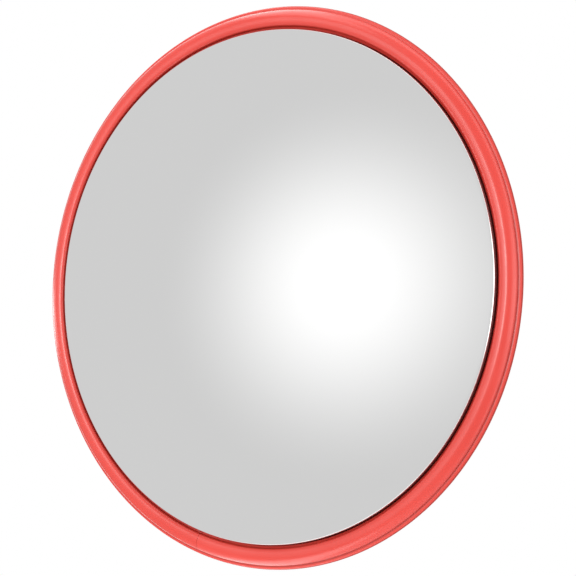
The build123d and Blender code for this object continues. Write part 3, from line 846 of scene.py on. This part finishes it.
def plain_polymer(name, color, other, rough, grain, depth):
    """Matt polymer with mottled colour and a fine grain."""
    shade = Shade(name, color, Roughness=rough)
    shade.put(shade.mix(shade.span(shade.noise(grain * 0.3, 4.0), 0.35, 0.7, 0.0, 1.0), color, other),
              "Base Color")
    shade.put(shade.span(shade.noise(grain * 0.6, 3.0), 0.3, 0.7, rough - 0.06, rough + 0.08), "Roughness")
    shade.put(shade.bump(shade.noise(grain, 3.0, 0.6), 0.4, depth * MM), "Normal")
    return shade.material


def pale_floor():
    """Pale studio floor, very slightly mottled."""
    pale = (0.86, 0.86, 0.86)
    shade = Shade("pale_floor", pale, Roughness=0.7)
    shade.put(shade.mix(shade.noise(6, 4.0), pale, (0.83, 0.83, 0.835)), "Base Color")
    shade.put(shade.bump(shade.noise(300, 3.0), 0.1, 0.2 * MM), "Normal")
    return shade.material


MATERIALS = {
    "mirror_face": mirror_face(),
    "coral_trim": coral_trim(),
    "coral_shell": coral_shell(),
    "galvanised_steel": galvanised(),
    "zinc_fasteners": zinc_plate(),
    "cast_aluminium": cast_aluminium(),
    "white_nylon": plain_polymer("nylon", (0.78, 0.77, 0.71), (0.72, 0.70, 0.63), 0.4, 900, 0.03),
    "friction_fibre": plain_polymer("fibre", (0.24, 0.12, 0.065), (0.17, 0.08, 0.05), 0.62, 1600, 0.05),
    "black_rubber": plain_polymer("rubber", (0.028, 0.028, 0.03), (0.045, 0.045, 0.045), 0.6, 1300, 0.05),
    "black_foam": plain_polymer("foam", (0.02, 0.02, 0.021), (0.035, 0.035, 0.035), 0.85, 1900, 0.15),
}


def finish_piece(piece, body, slot, *nodes):
    """Gives a piece the material of its record slot and its body, and hides the CAD nodes it stands for.
    """
    piece.data.materials.clear()
    piece.data.materials.append(MATERIALS[slot])
    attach(piece, body)
    if nodes:
        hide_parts(*nodes)
    return piece


# ---- pieces on their bodies --------------------------------------------------------------

finish_piece(make_lens(), "mirror_head", "mirror_face", "mirror_lens")
finish_piece(make_trim(), "mirror_head", "coral_trim", "edge_trim")
finish_piece(make_shell(), "mirror_head", "coral_shell", "back_shell")

body_of_node = {n: body for body, nodes in frame["record"]["behaviour"]["bodies"].items() for n in nodes}
slot_of_node = {s["node"]: s["material_slot"] for s in frame["record"]["subparts"]}
place_of_joint = {joint["name"]: Vector(joint["pos_m"]) for joint in frame["joints"]}


def at(x, y, z, turn=0.0, axis="Z"):
    """Turn about an axis, then a place."""
    return Matrix.Translation((x, y, z)) @ Matrix.Rotation(math.radians(turn), 4, axis)


def joint_fasteners(joint, body, stand):
    """Bolt, lock nut and washers of one swivel joint. stand turns +Z to the bolt's head."""
    middle = Matrix.Translation(place_of_joint[joint]) @ stand
    below = middle @ at(0, 0, -JOINT_SEAT)
    thick = M12["washer"] * MM
    length = (JOINT_SEAT + JOINT_BOLT_TIP) / MM
    threaded = (JOINT_BOLT_TIP - JOINT_SEAT) / MM + THREAD_SPARE
    bolt = hex_bolt(joint + "_bolt_turned", M12, length, threaded, middle @ at(0, 0, JOINT_SEAT))
    finish_piece(bolt, body, "zinc_fasteners", joint + "_bolt")
    nut = lock_nut(joint + "_nut_turned", M12, below)
    finish_piece(nut, body, "zinc_fasteners", joint + "_nut")
    pair = [washer(M12, middle @ at(0, 0, JOINT_SEAT - thick)), washer(M12, below)]
    finish_piece(joined(joint + "_washers_pressed", pair), body, "zinc_fasteners", joint + "_washers")


def head_fasteners():
    """The four M6 bolts through the head's bracket and their washers."""
    bolts, washers = [], []
    length = (HEAD_SEAT - HEAD_BOLT_TIP) / MM
    for x in (-HEAD_FIXING_X, HEAD_FIXING_X):
        for z in (-HEAD_FIXING_Z, HEAD_FIXING_Z):
            bolts.append(hex_bolt("bolt", M6, length, 0.0, at(x, HEAD_SEAT, z, -90, "X")))
            washers.append(washer(M6, at(x, HEAD_SEAT - M6["washer"] * MM, z, -90, "X")))
    finish_piece(joined("head_bolts_turned", bolts), "mirror_head", "zinc_fasteners", "head_bolts")
    finish_piece(joined("head_washers_pressed", washers), "mirror_head", "zinc_fasteners", "head_washers")


def arm_welds():
    """Fillet welds of the arm: round both ends of the tube and along the gussets."""
    pieces = [weld_ring("weld", TUBE_R, PLATE_FACE, 3.2 * MM, -1, 3),
              weld_ring("weld", TUBE_R, FORK_BASE, 3.2 * MM, 1, 5)]
    for k in range(4):
        turn = math.radians(90 * k)
        out = np.array((math.cos(turn), 0, math.sin(turn)))
        across = np.array((-math.sin(turn), 0, math.cos(turn)))
        for hand in (-1, 1):
            face = across * GUSSET_HALF * hand
            wall = face + np.array((0, PLATE_FACE, 0))
            tube = face + out * TUBE_R
            near, far = np.array(((0, PLATE_FACE - 7 * MM, 0), (0, GUSSET_END + 2 * MM, 0)))
            runs = (
                (wall + out * (TUBE_R + 2 * MM), wall + out * (GUSSET_REACH - 1.5 * MM), (0, -1, 0)),
                (tube + near, tube + far, out),
            )
            for start, end, up in runs:
                rings = weld_run(start, end, across * hand, up, 3.0 * MM, 10 * k + hand + 1)
                pieces.append(skin("weld", rings, caps=True, sharp=math.radians(80)))
    finish_piece(joined("arm_weld_beads", pieces), "wall_mount", "galvanised_steel")


joint_fasteners("pan", "wall_mount", Matrix.Identity(4))
joint_fasteners("tilt", "mirror_head", Matrix.Rotation(math.radians(90), 4, "Y"))
head_fasteners()
arm_welds()

EASED = {
    "wall_plate": 0.5, "arm_gussets": 0.5, "arm_fork": 0.5, "head_bracket": 0.5, "swivel_knuckle": 0.6,
    "wall_arm": 0.4, "stiffener_plate": 0.3, "vent_plugs": 0.25, "pan_friction_washers": 0.2,
    "tilt_friction_washers": 0.2,
}
for node, width in EASED.items():
    finish_piece(eased(node, width * MM), body_of_node[node], slot_of_node[node], node)

REBUILT = {"mirror_lens", "edge_trim", "back_shell", "pan_bolt", "pan_nut", "pan_washers", "tilt_bolt",
           "tilt_nut", "tilt_washers", "head_bolts", "head_washers", *EASED}
for node, solid in frame["nodes"].items():
    if node not in REBUILT:
        solid.data.materials.clear()
        solid.data.materials.append(MATERIALS[slot_of_node[node]])

# ---- stage, light and camera -------------------------------------------------------------

VIEW_AZIMUTH = 33.92        # degrees, towards +X
VIEW_ELEVATION = -4.24
VIEW_DISTANCE = 1.3518
VIEW_LENS = 105.50          # on a 36 mm sensor
AIM_RIGHT = 16.40 * MM      # where the camera looks, from the centre of the rim
AIM_UP = -1.79 * MM
CENTRE = Vector((0, RIM_Y, 0))


def direction(azimuth, elevation):
    """Unit vector from the object towards a place given in degrees, azimuth 0 in front."""
    a, e = math.radians(azimuth), math.radians(elevation)
    return Vector((math.sin(a) * math.cos(e), -math.cos(a) * math.cos(e), math.sin(e)))


def make_camera():
    """Camera to the right of the mirror's axis and a little below it."""
    away = direction(VIEW_AZIMUTH, VIEW_ELEVATION)
    side = Vector((0, 0, 1)).cross(away).normalized()
    aim = CENTRE + side * AIM_RIGHT + away.cross(side) * AIM_UP
    place = CENTRE + away * VIEW_DISTANCE
    back = (place - aim).normalized()
    right = Vector((0, 0, 1)).cross(back).normalized()
    data = bpy.data.cameras.new("camera")
    data.sensor_width = 36.0
    data.lens = VIEW_LENS
    camera = bpy.data.objects.new("camera", data)
    camera.location = place
    camera.rotation_euler = Matrix((right, back.cross(right), back)).transposed().to_euler()
    bpy.context.scene.collection.objects.link(camera)
    bpy.context.scene.camera = camera


FRONT_GREY = 0.686         # what the mirror's face sees around the glow
FRONT_SPAN = (-0.1, 0.36)  # cosines from the front over which the back's light gives way to it
GLOW = Vector((-0.341, -0.9375, 0.069)).normalized()
GLOW_WIDTH = 0.49          # sines of the glow's half angles
GLOW_HEIGHT = 0.425
GLOW_PEAK = 0.50
RING_CENTRE = 0.05         # cosine from the front of the bright band round the sides
RING_HALF = 0.26
RING_PEAK = 1.6
LEFT_BAND_CENTRE = -0.50   # the same for the band behind the left side
LEFT_BAND_HALF = 0.24
LEFT_BAND_PEAK = 1.3
SIDE_PANEL = direction(66, 0)
SIDE_PANEL_EDGE = 0.90     # cosine of the side panel's half angle
SIDE_PANEL_PEAK = 2.0
BACK_BRIGHTEST = (0.6, 0.3, 0.74)     # the way in which the surround's back is brightest
BACK_RANGE = (0.25, 0.95)  # its darkest and its brightest


def make_world():
    """Studio surround: white behind, grey in front with one broad glow, brighter at the sides."""
    world = bpy.data.worlds.new("studio")
    bpy.context.scene.world = world
    world.use_nodes = True
    tree = world.node_tree
    tree.nodes.clear()

    def node(kind, *inputs, **settings):
        made = tree.nodes.new(kind)
        for key, value in settings.items():
            setattr(made, key, value)
        for socket, value in zip(made.inputs, inputs):
            if isinstance(value, bpy.types.NodeSocket):
                tree.links.new(value, socket)
            else:
                socket.default_value = value
        return made

    def calc(operation, *inputs):
        return node("ShaderNodeMath", *inputs, operation=operation).outputs[0]

    def along(axis):
        return node("ShaderNodeVectorMath", look, tuple(axis), operation="DOT_PRODUCT").outputs["Value"]

    def ease(value, low, high, to_low, to_high):
        made = node("ShaderNodeMapRange", value, low, high, to_low, to_high,
                    interpolation_type="SMOOTHSTEP")
        return made.outputs[0]

    look = tree.nodes.new("ShaderNodeTexCoord").outputs["Generated"]
    right = GLOW.cross(Vector((0, 0, 1))).normalized()
    up = right.cross(GLOW)
    across = calc("DIVIDE", along(right), GLOW_WIDTH)
    above = calc("DIVIDE", along(up), GLOW_HEIGHT)
    reach = calc("SQRT", calc("ADD", calc("MULTIPLY", across, across), calc("MULTIPLY", above, above)))
    wave = calc("COSINE", calc("MULTIPLY", calc("MINIMUM", reach, 1.0), math.pi))
    fall = calc("MULTIPLY", calc("ADD", wave, 1.0), 0.5 * GLOW_PEAK)
    ahead = ease(along(GLOW), 0.0, 0.3, 0.0, 1.0)
    front = calc("ADD", calc("MULTIPLY", fall, ahead), FRONT_GREY)
    facing = along((0, -1, 0))
    offset = calc("ABSOLUTE", calc("SUBTRACT", facing, RING_CENTRE))
    side = ease(offset, 0.0, RING_HALF, RING_PEAK, 0.0)
    panel = ease(along(SIDE_PANEL), SIDE_PANEL_EDGE, 1.0, 0.0, SIDE_PANEL_PEAK)
    rightwards = along((1, 0, 0))
    dim = ease(rightwards, -1.0, 0.3, 0.0, 1.0)
    side = calc("ADD", calc("MULTIPLY", side, dim), panel)
    offset = calc("ABSOLUTE", calc("SUBTRACT", facing, LEFT_BAND_CENTRE))
    left = calc("MULTIPLY", ease(offset, 0.0, LEFT_BAND_HALF, LEFT_BAND_PEAK, 0.0),
                ease(rightwards, -0.6, -0.2, 1.0, 0.0))
    side = calc("ADD", side, left)
    behind = ease(along(BACK_BRIGHTEST), -1.0, 1.0, *BACK_RANGE)
    share = ease(facing, *FRONT_SPAN, 0.0, 1.0)
    back = calc("MULTIPLY", behind, calc("SUBTRACT", 1.0, share))
    light = calc("ADD", calc("ADD", back, calc("MULTIPLY", front, share)), side)
    seen = tree.nodes.new("ShaderNodeLightPath").outputs["Is Camera Ray"]
    strength = calc("ADD", calc("MULTIPLY", light, calc("SUBTRACT", 1.0, seen)), seen)
    background = node("ShaderNodeBackground", (1, 1, 1, 1), strength)
    output = tree.nodes.new("ShaderNodeOutputWorld")
    tree.links.new(background.outputs[0], output.inputs[0])


FLOOR_R = 0.9
FLOOR_LEVEL = -0.9


def make_floor():
    """Round pale floor, well below the mirror."""
    turn = np.linspace(0, TAU, 128, endpoint=False)
    rings = []
    for share, drop in ((0.0, 0.0), (0.5, 0.0), (0.995, 0.0), (1.0, 0.004), (1.0, 0.02), (0.0, 0.02)):
        radius = FLOOR_R * share
        level = np.full_like(turn, FLOOR_LEVEL - drop)
        rings.append(np.stack([radius * np.cos(turn), radius * np.sin(turn), level], 1))
    floor = skin("floor", np.array(rings))
    floor.data.materials.append(pale_floor())


def soft_light(name, place, aim, size, radiance, lit):
    """Soft light at a place, facing aim, round or oblong by its size, lighting only lit."""
    data = bpy.data.lights.new(name, "AREA")
    data.shape = "ELLIPSE" if size[0] == size[1] else "RECTANGLE"
    data.size, data.size_y = size
    share = math.pi / 4 if size[0] == size[1] else 1.0
    data.energy = radiance * math.pi * size[0] * size[1] * share
    lamp = bpy.data.objects.new(name, data)
    lamp.location = place
    lamp.rotation_euler = (Vector(place) - Vector(aim)).to_track_quat("Z", "X").to_euler()
    lamp.visible_camera = False
    bpy.context.scene.collection.objects.link(lamp)
    lamp.light_linking.receiver_collection = lit


def lit_collection():
    """Everything that the extra softboxes light: all but the mirror's face."""
    group = bpy.data.collections.new("lit_by_softboxes")
    for thing in bpy.context.scene.objects:
        if thing.type == "MESH" and thing.name != "lens_face":
            group.objects.link(thing)
    return group


make_camera()
make_world()
make_floor()
lit = lit_collection()
soft_light("front_softbox", CENTRE + direction(-8, 5) * 2.4, CENTRE, (0.68, 0.68), 14.0, lit)
soft_light("broad_softbox", CENTRE + direction(-24, 12) * 2.4, CENTRE, (0.9, 0.9), 1.5, lit)
soft_light("upper_strip", (-0.20, -0.27, 0.64), (0, -0.23, 0.22), (0.24, 0.90), 1.8, lit)
soft_light("lower_strip", (-0.22, -0.31, -0.64), (0, -0.23, -0.22), (0.24, 0.90), 2.1, lit)
soft_light("left_strip", (-0.80, -0.25, 0), (-0.22, -0.23, 0), (0.10, 1.0), 3.0, lit)
soft_light("rear_softbox", (0.45, 0.75, 1.0), CENTRE, (0.5, 0.5), 7.0, lit)

settings = bpy.context.scene.view_settings
settings.view_transform = "Standard"
settings.look = "None"
settings.exposure = 0.0
settings.gamma = 1.0
